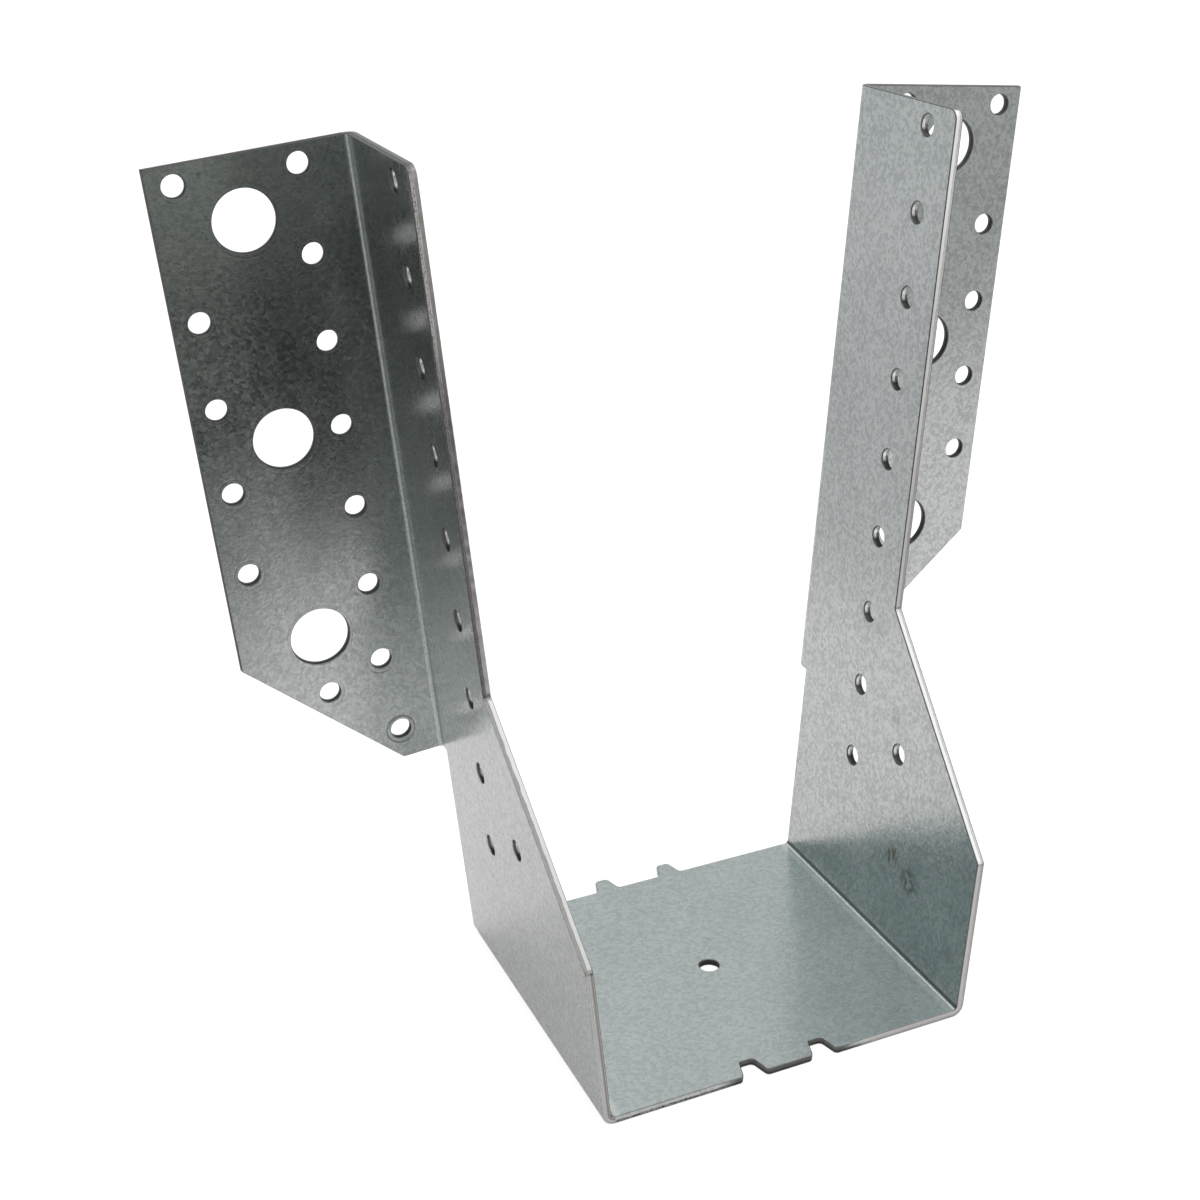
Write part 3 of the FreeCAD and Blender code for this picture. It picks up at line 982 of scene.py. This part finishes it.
def outer_cuts(sheet, body):
    """Old dark cuts along the top and the flanges' outer edges, and round the notches."""
    nodes, look, blank, sizes = sheet.nodes, sheet.look, sheet.blank, sheet.sizes
    top = sheet.up(sheet.off_middle, sizes.wall_height - EDGE_NEAR, sizes.wall_height)
    on_flange = nodes.under(sheet.forward, blank.flange_start)
    top = nodes.times(top, nodes.either(on_flange, nodes.over(sheet.across, 0.0)))
    outer = nodes.under(sheet.forward, blank.out_flange(sizes.flange_width - EDGE_NEAR))
    body = nodes.mix(nodes.either(top, outer), body, rgba(look.outer_cut))
    near_notch = nodes.outside(nodes.ramp(sheet.off_middle, NOTCH_FROM, NOTCH_TO))
    at_front = nodes.ramp(sheet.forward, blank.seat_front - 0.007, blank.seat_front - 0.005)
    return nodes.mix(nodes.times(near_notch, at_front, 0.85), body, rgba(look.bore_steel))


def bores(sheet, torn, left, body):
    """Dark steel inside the holes, partly painted shade; in the walls' holes a painted highlight
    where the bore faces sideways, halfway up, and a lighter painted reflection on the upper side of
    the right wall's holes.
    """
    nodes, look, blank = sheet.nodes, sheet.look, sheet.blank
    bore = nodes.under(sheet.from_hole, FAR / 2)
    in_wall = nodes.times(nodes.over(sheet.forward, blank.outer_radius),
                          nodes.over(sheet.off_middle, blank.seat_end))
    # The bore's colour follows the way its surface faces: painted highlight and painted shade
    _, _, upright = nodes.axes(nodes.add("ShaderNodeTexCoord").outputs["Normal"])
    tilt = nodes.scaled(left, -0.28, nodes.size_of(upright))
    middle = nodes.outside(nodes.ramp(tilt, 0.2, 0.6))
    # The painted highlight on the middle of the bore, where it faces sideways
    burnished = nodes.times(in_wall, middle, nodes.less(torn, 0.8))
    lit_roof = nodes.times(nodes.outside(left), in_wall, nodes.under(upright, 0.0))
    tone = nodes.mix(lit_roof, rgba(look.bore_steel), rgba(look.zinc_dark))
    return nodes.mix(bore, body, nodes.mix(burnished, tone, rgba(look.highlight_steel)))


def cut_material(look, sizes, shear, group):
    """Sheared edges and the insides of the holes."""
    sheet = Sheet("sheared edge", look, sizes)
    nodes = sheet.nodes
    coat = sheet.coat(group, 1.0)
    waver = nodes.scaled(nodes.noise(sheet.place, 350.0, 3.0, 0.6), 0.0006, -0.0003)
    sheet.wavering_depth = nodes.plus(sheet.depth, waver)
    torn = nodes.ramp(sheet.wavering_depth, shear.band * 0.90, shear.band * 1.10)
    fine = nodes.noise(sheet.place, 2200.0, 3.0, 0.65)

    body = sheared_steel(sheet, torn, fine, coat["Colour"])
    body, matte_highlight = right_cut(sheet, torn, body)
    body, left = left_cut(sheet, torn, fine, body)
    body = outer_cuts(sheet, body)
    body = bores(sheet, torn, left, body)

    bump = nodes.add("ShaderNodeBump", {"Height": nodes.times(fine, torn), "Strength": 1.0,
                                        "Distance": TORN_BUMP})
    # Metallic drops where the painted highlight is made matte, so that it shows brighter
    return sheet.finish(body, nodes.less(matte_highlight, 0.8), nodes.scaled(torn, 0.30, 0.30),
                        bump.outputs["Normal"])


# Operators

class HANGER_OT_fold(Operator):
    """Draw the flat blank, fold it into the hanger and give it its zinc coat"""

    bl_idname = "hanger.fold"
    bl_label = "Fold Hanger"
    bl_options = {"REGISTER", "UNDO"}

    def execute(self, context):
        scene = context.scene
        sizes, shear, look = scene.hanger_sizes, scene.hanger_shear, scene.hanger_look
        mesh = hanger_mesh(sizes, shear)
        if not mesh.polygons:
            raise RuntimeError("The blank has no faces: its sizes don't fit each other")
        hanger = bpy.data.objects.new("folded_sheet", mesh)
        scene.collection.objects.link(hanger)
        group = zinc_group()
        mesh.materials.append(zinc_material(look, sizes, group))
        mesh.materials.append(cut_material(look, sizes, shear, group))
        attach(hanger, "root")
        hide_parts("hanger")
        return {"FINISHED"}


# The room: each direction is a unit vector from the hanger, each cone an outer and inner angle
FRONT_WAY, FRONT_CONE = (-0.139, -0.990, 0.0), (40, 22)
FRONT_FROM, FRONT_TO = 0.10, 0.75
CORNER_WAY, CORNER_CONE = (-0.557, 0.663, 0.5), (20, 6)
WINDOW_WAY, WINDOW_CONE = (-0.173, 0.646, 0.743), (28, 8)
CEILING_FROM, CEILING_TO = 0.60, 0.90

# The floor, as it shows in the metal
PAPER_MIDDLE = (0.27, 0.07, 0.0)
FLOOR_SHARE, FAR_FLOOR_SHARE = 0.76, 0.98
FAR_FROM, FAR_TO = 0.85, 1.25
STAND_FEET = (((0.07, -0.48, 0.0), 0.27), ((-0.22, -0.52, 0.0), 0.31))
STAND_CORE = 0.35
FLOOR_GLOW = 1.35
CAMERA_GLOW_SHARE, METAL_GLOW_SHARE = 0.62, 0.25

LAMP_PLACE = (0.15, 0.15, 1.3)
LAMP_SIZE = 1.1
CAMERA_PLACE = (-0.17658, -0.35106, 0.27901)
CAMERA_TURN = (67.632, 0.830, -24.391)
CAMERA_LENS = 56.332
CAMERA_SHIFT = (-0.02090, -0.05635)


def cone(nodes, vector, way, angles):
    """1 inside the inner angle round a direction, 0 outside the outer one."""
    outer, inner = (math.cos(math.radians(degrees)) for degrees in angles)
    return nodes.ramp(nodes.vectors("DOT_PRODUCT", vector, way), outer, inner)


def room_tone(nodes, studio, vector, behind):
    """The room's colour in a level direction: dim in front of the hanger."""
    level = nodes.vectors("NORMALIZE", nodes.vectors("MULTIPLY", vector, (1.0, 1.0, 0.0)))
    ahead = nodes.vectors("DOT_PRODUCT", level, FRONT_WAY)
    tone = nodes.mix(nodes.ramp(ahead, FRONT_FROM, FRONT_TO), rgba(behind),
                     rgba(studio.front_right))
    return nodes.mix(cone(nodes, level, FRONT_WAY, FRONT_CONE), tone, rgba(studio.front))


def floor_material(studio):
    """Pale paper, which the metal sees end, with the darker floor and a stand beyond it."""
    material = bpy.data.materials.new("floor")
    material.use_nodes = True
    material.node_tree.nodes.clear()
    nodes = Nodes(material.node_tree)
    rays = nodes.add("ShaderNodeLightPath").outputs
    place = nodes.add("ShaderNodeTexCoord").outputs["Object"]
    middle = nodes.vectors("DISTANCE", place, PAPER_MIDDLE)
    beyond = nodes.ramp(middle, studio.pool_radius - studio.pool_soft / 2,
                        studio.pool_radius + studio.pool_soft / 2)
    far = nodes.mix(nodes.ramp(middle, FAR_FROM, FAR_TO), rgba([FLOOR_SHARE] * 3),
                    rgba([FAR_FLOOR_SHARE] * 3))
    room = nodes.mix(1.0, room_tone(nodes, studio, place, studio.far_floor), far, "MULTIPLY")
    tone = nodes.mix(beyond, rgba(studio.paper), room)
    for foot, reach in STAND_FEET:
        away = nodes.vectors("DISTANCE", place, foot)
        tone = nodes.mix(nodes.ramp(away, reach * STAND_CORE, reach), rgba(studio.stand), tone)

    in_metal = rays["Is Glossy Ray"]
    paper = nodes.add("ShaderNodeBsdfDiffuse", {
        "Color": nodes.mix(in_metal, rgba(studio.paper), tone)})
    glow = nodes.add("ShaderNodeEmission", {
        "Color": nodes.mix(in_metal, rgba([FLOOR_GLOW] * 3), tone), "Strength": 1.0})
    glowing = nodes.plus(nodes.times(rays["Is Camera Ray"], CAMERA_GLOW_SHARE),
                         nodes.times(in_metal, METAL_GLOW_SHARE))
    mixed = nodes.add("ShaderNodeMixShader", {
        0: glowing, 1: paper.outputs[0], 2: glow.outputs[0]})
    nodes.add("ShaderNodeOutputMaterial", {"Surface": mixed.outputs[0]})
    return material


class HANGER_OT_studio(Operator):
    """Set up the floor, the lamp, the surroundings and the camera"""

    bl_idname = "hanger.studio"
    bl_label = "Set Up Studio"
    bl_options = {"REGISTER", "UNDO"}

    def execute(self, context):
        scene = context.scene
        studio = scene.hanger_studio
        self.floor(scene, studio)
        self.lamp(scene, studio)
        self.surroundings(scene, studio)
        self.camera(scene)
        scene.view_settings.view_transform = "Standard"
        return {"FINISHED"}

    def floor(self, scene, studio):
        reach = studio.floor_reach
        mesh = bpy.data.meshes.new("floor")
        mesh.from_pydata([(-reach, -reach, 0), (reach, -reach, 0), (reach, reach, 0),
                          (-reach, reach, 0)], [], [(0, 1, 2, 3)])
        mesh.materials.append(floor_material(studio))
        floor = bpy.data.objects.new("floor", mesh)
        scene.collection.objects.link(floor)

    def lamp(self, scene, studio):
        light = bpy.data.lights.new("overhead lamp", "AREA")
        light.energy = studio.lamp_power
        light.size = LAMP_SIZE
        lamp = bpy.data.objects.new("overhead lamp", light)
        lamp.location = LAMP_PLACE
        lamp.rotation_euler = Vector(LAMP_PLACE).to_track_quat("Z", "Y").to_euler()
        lamp.visible_glossy = False
        scene.collection.objects.link(lamp)

    def surroundings(self, scene, studio):
        """The room that the metal mirrors, even light for all else and white for the camera."""
        world = bpy.data.worlds.new("studio")
        world.use_nodes = True
        world.node_tree.nodes.clear()
        nodes = Nodes(world.node_tree)
        rays = nodes.add("ShaderNodeLightPath").outputs
        way = nodes.add("ShaderNodeTexCoord").outputs["Generated"]
        tone = nodes.mix(cone(nodes, way, WINDOW_WAY, WINDOW_CONE),
                         room_tone(nodes, studio, way, studio.backdrop), rgba(studio.window))
        tone = nodes.mix(cone(nodes, way, CORNER_WAY, CORNER_CONE), tone, rgba(studio.corner))
        _, _, up = nodes.axes(way)
        tone = nodes.mix(nodes.ramp(up, CEILING_FROM, CEILING_TO), tone, rgba(studio.ceiling))
        tone = nodes.mix(rays["Is Glossy Ray"], rgba([studio.daylight] * 3), tone)
        tone = nodes.mix(rays["Is Camera Ray"], tone, rgba([1.0] * 3))
        back = nodes.add("ShaderNodeBackground", {"Color": tone, "Strength": 1.0})
        nodes.add("ShaderNodeOutputWorld", {"Surface": back.outputs[0]})
        scene.world = world

    def camera(self, scene):
        lens = bpy.data.cameras.new("camera")
        lens.sensor_width = 36.0
        lens.lens = CAMERA_LENS
        lens.shift_x, lens.shift_y = CAMERA_SHIFT
        lens.clip_start = 0.01
        camera = bpy.data.objects.new("camera", lens)
        camera.location = CAMERA_PLACE
        camera.rotation_euler = Euler([math.radians(turn) for turn in CAMERA_TURN])
        scene.collection.objects.link(camera)
        scene.camera = camera


class HANGER_PT_sidebar(Panel):
    """Sizes, finish and studio of the joist hanger"""

    bl_idname = "HANGER_PT_sidebar"
    bl_label = "Joist Hanger"
    bl_space_type = "VIEW_3D"
    bl_region_type = "UI"
    bl_category = "Hanger"

    def draw(self, context):
        scene = context.scene
        for label, group in (("Sizes", scene.hanger_sizes), ("Cuts", scene.hanger_shear),
                             ("Finish", scene.hanger_look), ("Studio", scene.hanger_studio)):
            box = self.layout.box()
            box.label(text=label)
            for name in group.__annotations__:
                box.prop(group, name)
        self.layout.operator(HANGER_OT_fold.bl_idname)
        self.layout.operator(HANGER_OT_studio.bl_idname)


CLASSES = (HangerSizes, ShearSizes, ZincLook, StudioSettings,
           HANGER_OT_fold, HANGER_OT_studio, HANGER_PT_sidebar)


def register():
    for cls in CLASSES:
        bpy.utils.register_class(cls)
    bpy.types.Scene.hanger_sizes = PointerProperty(type=HangerSizes)
    bpy.types.Scene.hanger_shear = PointerProperty(type=ShearSizes)
    bpy.types.Scene.hanger_look = PointerProperty(type=ZincLook)
    bpy.types.Scene.hanger_studio = PointerProperty(type=StudioSettings)


def unregister():
    del bpy.types.Scene.hanger_studio
    del bpy.types.Scene.hanger_look
    del bpy.types.Scene.hanger_shear
    del bpy.types.Scene.hanger_sizes
    for cls in reversed(CLASSES):
        bpy.utils.unregister_class(cls)


def main():
    register()
    bpy.ops.hanger.fold()
    bpy.ops.hanger.studio()


if __name__ == "__main__":
    main()
